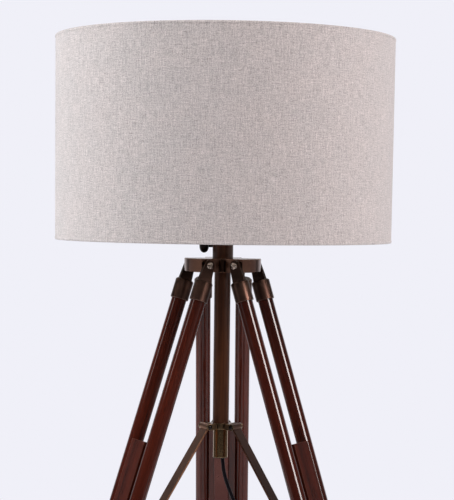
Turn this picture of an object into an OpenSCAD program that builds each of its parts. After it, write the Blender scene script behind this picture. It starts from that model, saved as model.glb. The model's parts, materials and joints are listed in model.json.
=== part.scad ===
// Tripod floor lamp: a drum shade on a sliding post, and three folding legs with extension bars.
// The origin is on the floor under the middle of the head, +Z is up, lengths are in millimetres.
// Raising the post in the head draws the spreader up and folds the three legs together.

/* [Legs] */
// Height of the leg hinges above the floor
hinge_z = 1145; // [1100:5:1160]
// Distance of each leg hinge from the post's axis
hinge_r = 36; // [35:0.5:38]
// Tilt of the open legs from the vertical
leg_tilt = 18.4; // [17.6:0.2:19.2]
// Diameter of the round rods
rod_d = 20.6; // [19.6:0.2:21]
// Distance between the two rods of a leg, axis to axis
rod_gap = 55; // [54:0.5:57]
// Length of the round rods
rod_len = 760; // [700:10:800]
// Thickness of the extension bars
bar_t = 21; // [20:0.5:22]
// Distance along the leg from the hinge to the top of the extension bar
bar_drop = 247; // [200:1:260]

/* [Head and post] */
// Height of the head casting
head_h = 18; // [16:1:20]
// Radius of the rounded ends of the head's lobes
head_r = 52; // [50:1:54]
// Outer diameter of the post
post_d = 22; // [21:0.5:22.5]
// Outer diameter of the lock sleeve above the head
sleeve_d = 28; // [27:0.5:30]
// Diameter of the thumb knobs
knob_d = 20; // [18:1:22]

/* [Spreader] */
// Height of the collar's hinge pins above the floor
collar_z = 926.7; // [920:0.1:932]
// Distance of the collar's hinge pins from the post's axis
collar_pin_r = 23; // [22:0.5:24]
// Width of the struts
strut_w = 18.6; // [18:0.2:20.4]
// Tilt of the struts from the vertical when the legs are open
strut_tilt = 33.2; // [32.6:0.2:33.8]

/* [Shade] */
// Diameter of the shade at its top edge
shade_top_d = 457; // [400:1:500]
// Diameter of the shade at its bottom edge
shade_bottom_d = 453; // [400:1:500]
// Height of the shade
shade_h = 272; // [262:1:280]
// Height of the shade's bottom edge above the floor
shade_z = 1178; // [1174:1:1182]

/* [Cord] */
// Diameter of the mains cord
cord_d = 5; // [4:0.5:6]

/* [Hidden] */

$fn = 64;

// Colours
bronze = [0.27, 0.19, 0.12];
brass = [0.45, 0.33, 0.19];
dark_metal = [0.10, 0.08, 0.07];
rosewood = [0.25, 0.08, 0.07];
linen = [0.80, 0.77, 0.73];
rubber = [0.05, 0.05, 0.05];

// Running clearance of every shaft in its hole, and the gap between flat sides that move past each other
run_gap = 0.08;
side_gap = 0.3;
// Slack of a part that is glued or pressed into its seat
seat_gap = 0.05;

legs = ["left", "right", "back"];
sides = ["a", "b"];
function azimuth(leg) = leg == "left" ? 210 : leg == "right" ? 330 : 90;
function side_sign(side) = side == "a" ? -1 : 1;

// Hinge and ferrule sizes, along the leg from the hinge
tab_t = 4.5;
tab_r = 7.5;
tab_root_w = 19;
ferrule_d = 24.6;
ferrule_top = 22;
ferrule_end = 49.5;
ferrule_chamfer = 1.6;
rod_top = 30;
rod_r = rod_d / 2;
lobe_half = rod_gap / 2 - tab_t / 2 - side_gap;
bolt_r = 3.5;
bolt_head_r = 4.6;
bolt_head_h = 3.2;
tab_outer = rod_gap / 2 + tab_t / 2;

// Clamp at the lower end of the rods
clamp_h = 26;
clamp_wall = 3;
clamp_floor = 2;
clamp_end = rod_top + rod_len + clamp_floor;
bar_groove_gap = 0.4;
bar_half_w = rod_gap / 2 - 9;
bar_slot_gap = 0.5;
boss_r = 7;
boss_l = 6;
screw_r = 2.5;

// Foot
pad_h = 9;
pad_r = 8;
pad_size = [36, 50];
shoe_t = 27;
shoe_w = 44;
shoe_h = 48;
shoe_floor = 4;
bar_half_t = bar_t / 2;
bar_end = (hinge_z - pad_h - shoe_floor - bar_half_t * sin(leg_tilt)) / cos(leg_tilt);
foot_rho = hinge_r + hinge_z * tan(leg_tilt);
pad_rho = foot_rho - pad_h * tan(leg_tilt) / 2;

// Spreader: the strut runs straight from the collar's pin to a pin on the inner side of the leg.
// The strut's length follows from where that line meets the row of possible pin places.
strut_pin_n = -22;
strut_t = 2.4;
strut_pin_r = 2.5;
knuckle_r = 4.5;
start_rho = hinge_r + strut_pin_n * cos(leg_tilt);
start_z = hinge_z + strut_pin_n * sin(leg_tilt);
strut_pin_s = ((start_z - collar_z) * sin(strut_tilt) + (start_rho - collar_pin_r) * cos(strut_tilt))
    / sin(strut_tilt - leg_tilt);
strut_len = norm([start_rho + strut_pin_s * sin(leg_tilt) - collar_pin_r,
    start_z - strut_pin_s * cos(leg_tilt) - collar_z]);
fork_in = strut_w / 2 + side_gap;
fork_t = 2.8;
fork_out = fork_in + fork_t;
pin_head_r = 3.2;
pin_head_h = 1.6;

// Post
post_r = post_d / 2;
post_wall = 1;
collar_h = 8.2;
collar_r = post_r + 1;
end_tube_r = post_r - post_wall - seat_gap;
end_tube_bottom = 884;
end_tube_overlap = 30;
end_tube_top = collar_z + collar_h / 2 + end_tube_overlap;
post_bottom = collar_z + collar_h / 2;
head_bottom = hinge_z - head_h / 2;
head_top = hinge_z + head_h / 2;
sleeve_h = 34;
post_top = 1196;
knob_axis_z = 1171;
knob_t = 13;
knob_gap = 19;
hub_r = 30;
bush_h = 7;
bush_hole_at = [2.3, 1.3];
bush_hole_r = cord_d / 2 + 1.2;

// Lampholder, bulb and harp, stacked on top of the post
saddle_t = 1.6;
saddle_r = 15;
saddle_half = 24;
saddle_w = 8;
saddle_up = 18;
holder_z = post_top + saddle_t;
cap_h = 17;
holder_r = 16.5;
holder_wall = 1;
shell_z = holder_z + cap_h;
shell_h = 36;
cup_r = 14.4;
cup_floor_z = shell_z + 6;
bulb_cap_r = 13;
bulb_z = cup_floor_z + 1.5;
bulb_cap_h = 26;
bulb_r = 30;
bulb_neck_r = 13.5;
bulb_centre_z = bulb_z + bulb_cap_h + 52;
glass_wall = 1;
key_z = shell_z + 2.9;
key_stem_r = 1.6;
harp_r = 1.6;
harp_half = 55;
harp_foot_z = holder_z + 4;
harp_top_z = 1430;
washer_z = harp_top_z + 5;
washer_r = 12;
washer_t = 2;
finial_h = 20;
stud_r = 2;
stud_len = washer_z + washer_t - harp_top_z - harp_r - 0.6;

// Shade layers
fabric_t = 1;
liner_t = 0.8;
wire_r = 1.6;
ring_inset = fabric_t + liner_t + wire_r + 0.2;

// Route of the free cord, from inside the post's lower end to the top of the coil on the floor
cord_r = cord_d / 2;
cord_route = [
    [2, 1, 912], [2, 1, 900], [2.5, 1.5, 888], [3.5, 2, 876], [5, 3, 864], [8, 4.5, 852], [12, 6.5, 840],
    [17, 9.5, 827], [22, 12.5, 813], [27, 15.5, 797], [31, 18, 778], [34, 20, 755], [36, 21, 725],
    [37, 22, 690], [37, 22, 640], [36, 22, 580], [34, 21, 510], [31, 20, 440], [28, 18, 370],
    [24, 16, 300], [20, 13, 235], [16, 10, 180], [13, 6, 135], [11, 1, 100], [9, -5, 72],
    [5, -12, 48], [-2, -18, 31], [-11, -21, 21.5], [-20, -20, 17.8]
];
coil_centre = [-14, 6];
coil_r = 27;
coil_half = 8;
coil_h = 15;

// Mains plug, lying on the floor beside the coil
plug_at = [23.4, -1];
plug_turn = -90;
plug_len = 24;
plug_w = 22;
plug_h = 14;
relief_len = 22;
relief_r = 4.5;
pin_gap = 12.7;
pin_len = 17;
pin_w = 6.4;
pin_t = 1.5;

// ---- helpers ----

// Puts children in a leg's own frame: X away from the lamp, Y along the hinge, -Z down the leg
module on_leg(leg) {
    rotate([0, 0, azimuth(leg)])
        translate([hinge_r, 0, hinge_z])
            rotate([0, -leg_tilt, 0])
                children();
}

// Cylinder along Y, centred
module pin_y(r, length) {
    rotate([90, 0, 0])
        cylinder(r = r, h = length, center = true);
}

// Low dome standing on the XY plane
module dome(r, h) {
    ball_r = (r * r + h * h) / (2 * h);
    intersection() {
        translate([0, 0, h - ball_r])
            sphere(r = ball_r);
        cylinder(r = r, h = h);
    }
}

// Tube between two heights with a straight wall
module sleeve_tube(r_out, r_in, z0, z1) {
    translate([0, 0, z0])
        difference() {
            cylinder(r = r_out, h = z1 - z0);
            translate([0, 0, -1])
                cylinder(r = r_in, h = z1 - z0 + 2);
        }
}

function unit(v) = v / norm(v);

// Direction of a route at point i
function heading(route, i) =
    unit(route[min(i + 1, len(route) - 1)] - route[max(i - 1, 0)]);

// Ring of points round route point i; "up" is any direction the route never runs along
function ring_points(route, i, r, n, up) =
    let (t = heading(route, i), u = unit(cross(up, t)), v = cross(t, u))
    [for (k = [0 : n - 1]) route[i] + r * (cos(360 * k / n) * u + sin(360 * k / n) * v)];

// Round tube swept along a route
module swept_tube(route, r, n, up) {
    count = len(route);
    points = [for (i = [0 : count - 1]) each ring_points(route, i, r, n, up)];
    side_faces = [for (i = [0 : count - 2], k = [0 : n - 1])
        let (a = i * n + k, b = i * n + (k + 1) % n)
        each [[a, b, a + n], [b, b + n, a + n]]];
    start_cap = [for (k = [n - 1 : -1 : 0]) k];
    end_cap = [for (k = [0 : n - 1]) (count - 1) * n + k];
    polyhedron(points, concat(side_faces, [start_cap], [end_cap]), convexity = 6);
}

// Catmull-Rom point between route points b and c
function blend(a, b, c, d, t) =
    0.5 * (2 * b + t * (c - a) + t * t * (2 * a - 5 * b + 4 * c - d)
    + t * t * t * (3 * b - a - 3 * c + d));

// Route with each stretch cut into n smooth steps
function smooth(route, n) =
    let (last = len(route) - 1)
    concat(
        [for (i = [0 : last - 1], k = [0 : n - 1])
            blend(route[max(i - 1, 0)], route[i], route[i + 1], route[min(i + 2, last)], k / n)],
        [route[last]]);

// ---- head ----

module head_casting() {
    edge = 0.8;
    color(bronze)
        difference() {
            translate([0, 0, head_bottom])
                union() {
                    cylinder(r = hub_r, h = head_h);
                    intersection() {
                        rotate_extrude()
                            polygon([[0, 0], [head_r - edge, 0], [head_r, edge],
                                [head_r, head_h - edge], [head_r - edge, head_h], [0, head_h]]);
                        union()
                            for (leg = legs)
                                rotate([0, 0, azimuth(leg)])
                                    translate([0, -lobe_half, -1])
                                        cube([head_r + 1, 2 * lobe_half, head_h + 2]);
                    }
                }
            translate([0, 0, head_bottom - 1])
                cylinder(r = post_r + run_gap, h = head_h + 2);
            for (leg = legs)
                rotate([0, 0, azimuth(leg)])
                    translate([hinge_r, 0, hinge_z])
                        pin_y(bolt_r + seat_gap, 2 * lobe_half + 2);
        }
}

module head_sleeve() {
    edge = 1;
    color(bronze)
        difference() {
            translate([0, 0, head_top])
                rotate_extrude()
                    polygon([[post_r + run_gap, 0], [sleeve_d / 2, 0],
                        [sleeve_d / 2, sleeve_h - edge], [sleeve_d / 2 - edge, sleeve_h],
                        [post_r + run_gap, sleeve_h]]);
            translate([0, 0, knob_axis_z])
                rotate([0, -90, 0])
                    cylinder(r = screw_r + run_gap, h = sleeve_d);
        }
}

// One bolt through each lobe and the two tabs beside it, with a dome on both ends
module hinge_bolts() {
    color(brass)
        for (leg = legs)
            rotate([0, 0, azimuth(leg)])
                translate([hinge_r, 0, hinge_z]) {
                    pin_y(bolt_r, 2 * (tab_outer + side_gap));
                    for (turn = [-90, 90])
                        rotate([turn, 0, 0])
                            translate([0, 0, tab_outer + side_gap])
                                dome(bolt_head_r, bolt_head_h);
                }
}

// Thumb knob: a rounded head and a screw along +Z, the screw's tip at the origin
module thumb_screw(screw_len) {
    cylinder(r = screw_r, h = screw_len + 1);
    translate([0, 0, screw_len + knob_t / 2])
        rotate_extrude()
            polygon(concat(
                [[0, -knob_t / 2]],
                [for (a = [-75 : 10 : 75]) [knob_d / 2 * pow(cos(a), 0.8), knob_t / 2 * sin(a)]],
                [[0, knob_t / 2]]));
}

module post_knob() {
    tip = post_r + 0.6;
    color(dark_metal)
        translate([-tip, 0, knob_axis_z])
            rotate([0, -90, 0])
                thumb_screw(knob_gap - tip);
}

// ---- post and spreader ----

module post_tube() {
    color(bronze)
        sleeve_tube(post_r, post_r - post_wall, post_bottom, post_top);
}

module post_end_tube() {
    color(brass)
        sleeve_tube(end_tube_r, end_tube_r - post_wall, end_tube_bottom, end_tube_top);
}

module post_bush() {
    bush_r = end_tube_r - post_wall - seat_gap;
    color(rubber)
        translate([0, 0, end_tube_bottom - 1])
            difference() {
                union() {
                    translate([0, 0, 1])
                        cylinder(r = bush_r, h = bush_h - 1);
                    cylinder(r = end_tube_r - 0.4, h = 1);
                }
                translate([bush_hole_at[0], bush_hole_at[1], -1])
                    cylinder(r = bush_hole_r, h = bush_h + 2);
            }
}

// Lead inside the post, from just above the free cord's end to the lampholder
module post_lead() {
    lead_z = cord_route[0][2] + 3;
    color(rubber)
        translate([0, 0, lead_z])
            cylinder(r = cord_r, h = holder_z + 4 - lead_z);
}

module spreader_collar() {
    arm_half = 7;
    fork_root = 14.5;
    fork_back = collar_pin_r - knuckle_r - 0.6;
    fork_end_r = collar_h / 2 + 0.3;
    color(brass)
        difference() {
            translate([0, 0, collar_z - collar_h / 2])
                union() {
                    cylinder(r = collar_r, h = collar_h);
                    for (leg = legs)
                        rotate([0, 0, azimuth(leg)]) {
                            translate([0, -arm_half, 0])
                                cube([fork_back, 2 * arm_half, collar_h]);
                            translate([fork_root, -fork_out, 0])
                                cube([fork_back - fork_root, 2 * fork_out, collar_h]);
                            for (s = [-1, 1])
                                translate([fork_root, s * (fork_in + fork_t / 2) - fork_t / 2, 0])
                                    cube([collar_pin_r - fork_root, fork_t, collar_h]);
                            for (s = [-1, 1])
                                translate([collar_pin_r, s * (fork_in + fork_t / 2), collar_h / 2])
                                    pin_y(fork_end_r, fork_t);
                        }
                }
            translate([0, 0, collar_z - collar_h])
                cylinder(r = end_tube_r + seat_gap, h = 2 * collar_h);
            for (leg = legs)
                rotate([0, 0, azimuth(leg)])
                    translate([collar_pin_r, 0, collar_z])
                        pin_y(strut_pin_r + seat_gap, 2 * fork_out + 2);
        }
}

module collar_pins() {
    color(dark_metal)
        for (leg = legs)
            rotate([0, 0, azimuth(leg)])
                translate([collar_pin_r, 0, collar_z]) {
                    pin_y(strut_pin_r, 2 * fork_out);
                    for (turn = [-90, 90])
                        rotate([turn, 0, 0])
                            translate([0, 0, fork_out])
                                dome(pin_head_r, pin_head_h);
                }
}

// Flat strip with a knuckle at each end; the lower one carries its own cross pin
module strut(leg) {
    lower_pin_half = fork_out + 1;
    color(brass)
        rotate([0, 0, azimuth(leg)])
            translate([collar_pin_r, 0, collar_z])
                rotate([0, -strut_tilt, 0])
                    difference() {
                        union() {
                            translate([-strut_t / 2, -strut_w / 2, -strut_len])
                                cube([strut_t, strut_w, strut_len]);
                            pin_y(knuckle_r, strut_w);
                            translate([0, 0, -strut_len]) {
                                pin_y(knuckle_r, strut_w);
                                pin_y(strut_pin_r, 2 * lower_pin_half);
                            }
                        }
                        pin_y(strut_pin_r + run_gap, strut_w + 2);
                    }
}

// ---- legs ----

module ferrule(leg, side) {
    y = side_sign(side) * rod_gap / 2;
    r = ferrule_d / 2;
    c = ferrule_chamfer;
    color(brass)
        on_leg(leg)
            difference() {
                union() {
                    translate([0, y, 0])
                        rotate_extrude()
                            polygon([[0, -ferrule_end], [r - 0.5, -ferrule_end], [r, -ferrule_end + 0.5],
                                [r, -ferrule_top - c], [r - c, -ferrule_top], [0, -ferrule_top]]);
                    translate([0, y + tab_t / 2, 0])
                        rotate([90, 0, 0])
                            linear_extrude(tab_t) {
                                circle(r = tab_r);
                                polygon([[-tab_r, 0], [-tab_root_w / 2, -ferrule_top - 1],
                                    [tab_root_w / 2, -ferrule_top - 1], [tab_r, 0]]);
                            }
                }
                translate([0, y, -ferrule_end - 1])
                    cylinder(r = rod_r + seat_gap, h = ferrule_end - rod_top + 1);
                translate([0, y, 0])
                    pin_y(bolt_r + run_gap, tab_t + 2);
            }
}

module rod(leg, side) {
    color(rosewood)
        on_leg(leg)
            translate([0, side_sign(side) * rod_gap / 2, -rod_top - rod_len])
                cylinder(r = rod_r, h = rod_len);
}

// Saddle across the inner side of both rods, with two slotted ears for the strut's cross pin
module strut_bracket(leg) {
    plate_in = 15;
    wrap = 5;
    half_w = rod_gap / 2 + rod_r + 2.2;
    half_h = 11;
    ear_r = 6.5;
    slot_up = 0.5;
    slot_down = 5;
    slot_n = strut_pin_n + 0.6;
    slot_r = strut_pin_r + 1;
    color(brass)
        on_leg(leg)
            translate([0, 0, -strut_pin_s])
                difference() {
                    union() {
                        translate([-plate_in, -half_w, -half_h])
                            cube([plate_in - wrap, 2 * half_w, 2 * half_h]);
                        for (s = [-1, 1])
                            translate([0, s * (fork_in + fork_t / 2), 0]) {
                                for (z = [-slot_down, slot_up])
                                    translate([strut_pin_n, 0, z])
                                        pin_y(ear_r, fork_t);
                                translate([strut_pin_n - ear_r, -fork_t / 2, -slot_down])
                                    cube([2 * ear_r, fork_t, slot_up + slot_down]);
                                translate([strut_pin_n, -fork_t / 2, -slot_down - ear_r])
                                    cube([-strut_pin_n - plate_in + 1, fork_t,
                                        slot_up + slot_down + 2 * ear_r]);
                            }
                    }
                    for (s = [-1, 1])
                        translate([0, s * rod_gap / 2, -half_h - 1])
                            cylinder(r = rod_r + seat_gap, h = 2 * half_h + 2);
                    translate([-bar_half_t - 0.7, -bar_half_w - 0.7, -half_h - 1])
                        cube([2 * bar_half_t, 2 * bar_half_w + 1.4, 2 * half_h + 2]);
                    for (z = [-slot_down, slot_up])
                        translate([slot_n, 0, z])
                            pin_y(slot_r, 2 * fork_out + 4);
                    translate([slot_n - slot_r, -fork_out - 2, -slot_down])
                        cube([2 * slot_r, 2 * fork_out + 4, slot_up + slot_down]);
                }
}

// Band round both rod ends, open in the middle for the bar, with a boss for the thumb screw
module clamp(leg) {
    r_out = rod_r + clamp_wall;
    boss_z = -clamp_end + clamp_h / 2;
    color(brass)
        on_leg(leg)
            difference() {
                union() {
                    translate([0, 0, -clamp_end])
                        linear_extrude(clamp_h) {
                            for (s = [-1, 1])
                                translate([0, s * rod_gap / 2])
                                    circle(r = r_out);
                            square([2 * r_out, rod_gap], center = true);
                        }
                    translate([r_out - 1, 0, boss_z])
                        rotate([0, 90, 0])
                            cylinder(r = boss_r, h = boss_l + 1);
                }
                for (s = [-1, 1])
                    translate([0, s * rod_gap / 2, -clamp_end + clamp_floor])
                        cylinder(r = rod_r + seat_gap, h = clamp_h);
                translate([-bar_half_t - bar_slot_gap, -bar_half_w - bar_slot_gap, -clamp_end - 1])
                    cube([2 * (bar_half_t + bar_slot_gap), 2 * (bar_half_w + bar_slot_gap), clamp_h + 2]);
                translate([0, 0, boss_z])
                    rotate([0, 90, 0])
                        cylinder(r = screw_r + run_gap, h = r_out + boss_l + 1);
            }
}

module clamp_knob(leg) {
    tip = bar_half_t + 0.8;
    color(dark_metal)
        on_leg(leg)
            translate([tip, 0, -clamp_end + clamp_h / 2])
                rotate([0, 90, 0])
                    thumb_screw(12.5);
}

// Extension bar, grooved along both edges to run between the rods
module bar(leg) {
    color(rosewood)
        on_leg(leg)
            difference() {
                translate([-bar_half_t, -bar_half_w, -bar_end])
                    cube([bar_t, 2 * bar_half_w, bar_end - bar_drop]);
                for (s = [-1, 1])
                    translate([0, s * rod_gap / 2, -bar_end - 1])
                        cylinder(r = rod_r + bar_groove_gap, h = bar_end - bar_drop + 2);
            }
}

// Brass socket round the bar's lower end, cut level where it stands on its pad
module shoe(leg) {
    past_floor = 20;
    color(brass)
        difference() {
            on_leg(leg)
                translate([-shoe_t / 2, -shoe_w / 2, -bar_end - past_floor])
                    cube([shoe_t, shoe_w, shoe_h + past_floor]);
            rotate([0, 0, azimuth(leg)])
                translate([foot_rho - 3 * shoe_w, -shoe_w, pad_h - 100])
                    cube([6 * shoe_w, 2 * shoe_w, 100]);
            on_leg(leg)
                translate([-bar_half_t - seat_gap, -bar_half_w - seat_gap, -bar_end])
                    cube([bar_t + 2 * seat_gap, 2 * (bar_half_w + seat_gap), shoe_h + 1]);
        }
}

module foot_pad(leg) {
    inner = pad_size - [2 * pad_r, 2 * pad_r];
    color(rubber)
        rotate([0, 0, azimuth(leg)])
            translate([pad_rho, 0, 0])
                linear_extrude(pad_h) {
                    square([pad_size[0], inner[1]], center = true);
                    square([inner[0], pad_size[1]], center = true);
                    for (x = [-1, 1], y = [-1, 1])
                        translate([x * inner[0] / 2, y * inner[1] / 2])
                            circle(r = pad_r);
                }
}

// ---- lampholder, bulb and harp ----

module harp_saddle() {
    color(brass)
        difference() {
            translate([0, 0, post_top])
                union() {
                    cylinder(r = saddle_r, h = saddle_t);
                    translate([-saddle_half, -saddle_w / 2, 0])
                        cube([2 * saddle_half, saddle_w, saddle_t]);
                    for (s = [-1, 1])
                        translate([s * saddle_half - saddle_t / 2, -saddle_w / 2, 0])
                            cube([saddle_t, saddle_w, saddle_up]);
                }
            translate([0, 0, post_top - 1])
                cylinder(r = cord_r + 1, h = saddle_t + 2);
        }
}

// Half outline of the harp: it leaves the saddle upright, bellies out and closes over the bulb
function harp_side(s) =
    let (rise = harp_top_z - harp_foot_z, foot = saddle_half + saddle_t / 2 + harp_r + 0.3)
    [[s * foot, 0, harp_foot_z], [s * foot, 0, harp_foot_z + 15],
        [s * (foot + 1.2), 0, harp_foot_z + 21], [s * (foot + 9), 0, harp_foot_z + 36],
        [s * (harp_half - 7), 0, harp_foot_z + 62], [s * harp_half, 0, harp_foot_z + 0.5 * rise],
        [s * (harp_half - 6), 0, harp_foot_z + 0.72 * rise],
        [s * (harp_half - 22), 0, harp_foot_z + 0.9 * rise],
        [s * 14, 0, harp_top_z - 2.5], [s * 5, 0, harp_top_z]];

module harp() {
    left_side = harp_side(-1);
    right_side = harp_side(1);
    last = len(right_side) - 1;
    loop = concat(left_side, [for (i = [0 : last]) right_side[last - i]]);
    color(brass) {
        swept_tube(smooth(loop, 4), harp_r, 10, [0, 1, 0]);
    }
}

// Knurled nut with a ball top; its stud runs down through the spider's washer
module finial() {
    color(brass)
        translate([0, 0, washer_z + washer_t]) {
            translate([0, 0, -stud_len])
                cylinder(r = stud_r, h = stud_len + 1);
            cylinder(r = 6, h = 5);
            translate([0, 0, 5])
                cylinder(r = 3, h = 3);
            translate([0, 0, finial_h - 7])
                sphere(r = 6.5);
        }
}

module lampholder_cap() {
    color(brass)
        translate([0, 0, holder_z])
            rotate_extrude()
                difference() {
                    polygon([[cord_r + 1, 0], [8, 0], [9, 4], [14.5, 8], [holder_r, 12], [holder_r, cap_h],
                        [cord_r + 1, cap_h]]);
                    polygon([[0, 1.2], [7, 1.2], [8, 5], [13.5, 9], [holder_r - holder_wall, 12.6],
                        [holder_r - holder_wall, cap_h + 1], [0, cap_h + 1]]);
                }
}

module lampholder_shell() {
    color(brass)
        difference() {
            sleeve_tube(holder_r, holder_r - holder_wall, shell_z, shell_z + shell_h);
            translate([0, 0, key_z])
                rotate([90, 0, 0])
                    cylinder(r = key_stem_r + run_gap, h = holder_r + 2);
        }
}

// Threaded cup that the bulb screws into, with a closed floor
module lampholder_cup() {
    wall = 0.6;
    color(brass)
        translate([0, 0, cup_floor_z])
            difference() {
                cylinder(r = cup_r, h = 27);
                translate([0, 0, 1])
                    cylinder(r = cup_r - wall, h = 27);
            }
}

// Turn switch: a stem into the shell and a flat thumb grip outside it
module switch_key() {
    grip_l = 9;
    color(dark_metal)
        translate([0, 0, key_z])
            rotate([90, 0, 0]) {
                translate([0, 0, holder_r - 8])
                    cylinder(r = key_stem_r, h = 14);
                translate([0, 0, holder_r + 5]) {
                    cylinder(r = 3.2, h = grip_l);
                    translate([-7, -1.6, 2])
                        cube([14, 3.2, grip_l - 2]);
                }
            }
}

module bulb_cap() {
    color("silver")
        translate([0, 0, bulb_z]) {
            cylinder(r = 4.5, h = 3);
            translate([0, 0, 3])
                cylinder(r1 = 7, r2 = bulb_cap_r, h = 4);
            translate([0, 0, 7])
                cylinder(r = bulb_cap_r, h = bulb_cap_h - 7);
        }
}

// Outline of the bulb's half section, drawn in by the given distance
module bulb_section(inset) {
    neck = bulb_z + bulb_cap_h + seat_gap;
    intersection() {
        union() {
            translate([0, bulb_centre_z])
                circle(r = bulb_r - inset);
            polygon([[0, neck + inset], [bulb_neck_r - inset, neck + inset],
                [bulb_neck_r - inset, neck + 8], [bulb_r * 0.86 - inset, bulb_centre_z - bulb_r * 0.5],
                [0, bulb_centre_z]]);
        }
        translate([0, neck])
            square([bulb_r + 1, 2 * bulb_r + 80]);
    }
}

module bulb_glass() {
    color([0.9, 0.9, 0.9, 0.4])
        rotate_extrude()
            difference() {
                bulb_section(0);
                bulb_section(glass_wall);
            }
}

// ---- shade ----

// Wall of the drum: a thin cone between two distances from the outer surface
module drum_wall(inset, thickness) {
    top_r = shade_top_d / 2 - inset;
    bottom_r = shade_bottom_d / 2 - inset;
    rotate_extrude($fn = 180)
        polygon([[bottom_r - thickness, shade_z], [bottom_r, shade_z],
            [top_r, shade_z + shade_h], [top_r - thickness, shade_z + shade_h]]);
}

module shade_fabric() {
    color(linen)
        drum_wall(0, fabric_t);
}

module shade_liner() {
    color("white")
        drum_wall(fabric_t + 3 * seat_gap, liner_t);
}

module wire_ring(r, z) {
    translate([0, 0, z])
        rotate_extrude($fn = 180)
            translate([r, 0])
                circle(r = wire_r, $fn = 24);
}

module shade_bottom_ring() {
    color("white")
        wire_ring(shade_bottom_d / 2 - ring_inset, shade_z + wire_r + 0.6);
}

// Top ring, three spokes and the washer that sits on the harp
module shade_spider() {
    ring_r = shade_top_d / 2 - ring_inset - 0.1;
    ring_z = shade_z + shade_h - wire_r - 0.6;
    spoke_r = 1.3;
    spoke_z = washer_z + washer_t / 2;
    spoke_start = washer_r - 3;
    spoke_end = ring_r - 0.7;
    spoke_len = norm([spoke_end - spoke_start, ring_z - spoke_z]);
    spoke_turn = atan2(spoke_end - spoke_start, ring_z - spoke_z);
    color("white") {
        wire_ring(ring_r, ring_z);
        difference() {
            translate([0, 0, washer_z])
                cylinder(r = washer_r, h = washer_t);
            translate([0, 0, washer_z - 1])
                cylinder(r = stud_r + 0.4, h = washer_t + 2);
        }
        for (leg = legs)
            rotate([0, 0, azimuth(leg) + 30])
                translate([spoke_start, 0, spoke_z])
                    rotate([0, spoke_turn, 0])
                        cylinder(r = spoke_r, h = spoke_len, $fn = 24);
    }
}

// ---- cord ----

module cord_tube() {
    color(rubber)
        swept_tube(smooth(cord_route, 2), cord_r, 10, [0.6, 0.8, 0]);
}

module cord_coil() {
    corner = 4;
    color(rubber)
        translate([coil_centre[0], coil_centre[1], 0])
            rotate_extrude()
                translate([coil_r, coil_h / 2]) {
                    square([2 * coil_half, coil_h - 2 * corner], center = true);
                    square([2 * (coil_half - corner), coil_h], center = true);
                    for (x = [-1, 1], z = [-1, 1])
                        translate([x * (coil_half - corner), z * (coil_h / 2 - corner)])
                            circle(r = corner);
                }
}

// Places children with +X along the plug, from the cord's end to the pins
module on_plug() {
    translate([plug_at[0], plug_at[1], plug_h / 2])
        rotate([0, 0, plug_turn])
            children();
}

module plug_body() {
    corner = 4;
    color(rubber)
        on_plug() {
            rotate([0, 90, 0])
                cylinder(r1 = relief_r - 1.2, r2 = relief_r, h = relief_len + 1);
            translate([relief_len, 0, 0])
                rotate([90, 0, 90])
                    linear_extrude(plug_len) {
                        square([plug_w, plug_h - 2 * corner], center = true);
                        square([plug_w - 2 * corner, plug_h], center = true);
                        for (y = [-1, 1], z = [-1, 1])
                            translate([y * (plug_w / 2 - corner), z * (plug_h / 2 - corner)])
                                circle(r = corner);
                    }
        }
}

module plug_pins() {
    color("silver")
        on_plug()
            for (s = [-1, 1])
                translate([relief_len + plug_len, s * pin_gap / 2 - pin_t / 2, -pin_w / 2])
                    cube([pin_len, pin_t, pin_w]);
}

head_casting();
head_sleeve();
hinge_bolts();
post_knob();
post_tube();
post_end_tube();
post_bush();
post_lead();
spreader_collar();
collar_pins();
harp_saddle();
harp();
finial();
lampholder_cap();
lampholder_shell();
lampholder_cup();
switch_key();
bulb_cap();
bulb_glass();
shade_fabric();
shade_liner();
shade_spider();
shade_bottom_ring();
for (leg = legs) {
    for (side = sides) {
        ferrule(leg, side);
        rod(leg, side);
    }
    strut_bracket(leg);
    clamp(leg);
    clamp_knob(leg);
    bar(leg);
    shoe(leg);
    foot_pad(leg);
    strut(leg);
}
cord_tube();
cord_coil();
plug_body();
plug_pins();
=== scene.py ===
import json
import math

import bpy
from mathutils import Matrix, Vector


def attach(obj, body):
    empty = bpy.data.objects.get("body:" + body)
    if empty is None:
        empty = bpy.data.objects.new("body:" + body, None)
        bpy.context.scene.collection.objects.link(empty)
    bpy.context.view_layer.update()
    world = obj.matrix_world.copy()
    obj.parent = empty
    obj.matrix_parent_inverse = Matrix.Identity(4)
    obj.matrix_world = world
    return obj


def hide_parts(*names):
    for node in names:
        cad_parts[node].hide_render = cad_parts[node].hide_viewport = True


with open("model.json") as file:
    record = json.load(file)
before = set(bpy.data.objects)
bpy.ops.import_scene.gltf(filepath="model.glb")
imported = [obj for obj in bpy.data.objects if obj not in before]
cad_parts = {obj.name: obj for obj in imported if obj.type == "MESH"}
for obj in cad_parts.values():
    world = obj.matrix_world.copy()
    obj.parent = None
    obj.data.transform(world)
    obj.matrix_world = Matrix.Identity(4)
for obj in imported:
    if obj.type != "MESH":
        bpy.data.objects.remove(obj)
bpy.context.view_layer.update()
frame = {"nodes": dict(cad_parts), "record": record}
nodes = frame["nodes"]

# Values whose names end in _MM are millimetres. Other lengths are metres and angles degrees, unless the
# comment at a value says otherwise.
MM = 0.001
LEG_AZIMUTH = {"left": 210, "right": 330, "back": 90}
LEG_TILT = 18.4
HINGE_R = 0.036
HINGE_Z = 1.145
ROD_GAP = 0.055
LAMP_MIDDLE = (0, 0, 1.2)
LEGS_MIDDLE = (0, 0, 1.0)


def turned(angle, axis):
    """Rotation by an angle in degrees about an axis."""
    return Matrix.Rotation(math.radians(angle), 4, axis)


# ---- camera ----

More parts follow.
